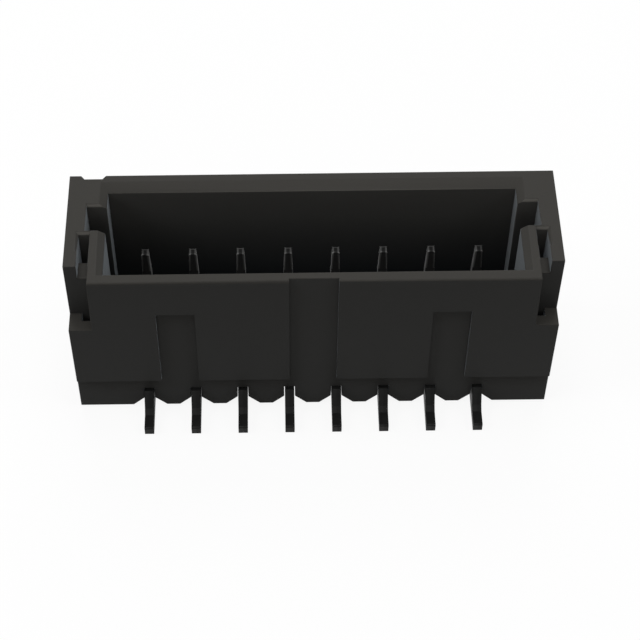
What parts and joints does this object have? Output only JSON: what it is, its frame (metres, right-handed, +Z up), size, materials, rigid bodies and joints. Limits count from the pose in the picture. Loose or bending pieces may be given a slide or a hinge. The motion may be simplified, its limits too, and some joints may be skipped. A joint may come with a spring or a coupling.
{
  "type": "wire-to-board header",
  "caption": "Surface-mount header: a row of upright contacts in a shrouded black housing open at the top, with solder tails along the front and a solder tab at each end.",
  "frame": {"origin": "centre of the part's footprint on the circuit board, at the underside of the solder tails", "axes": "+X along the row of contacts, +Y from the solder tails to the rear wall, +Z up from the board towards the mouth"},
  "size_m": [0.01, 0.0036, 0.0043],
  "materials": {
    "housing": "satin moulded",
    "contact": "dark plated sheet",
    "solder_tab": "dark plated sheet"
  },
  "bodies": {
    "root": {"housing": "housing", "contact_1": "contact", "contact_2": "contact", "contact_3": "contact", "contact_4": "contact", "contact_5": "contact", "contact_6": "contact", "contact_7": "contact", "contact_8": "contact", "solder_tab_left": "solder_tab", "solder_tab_right": "solder_tab"}
  },
  "joints": []
}
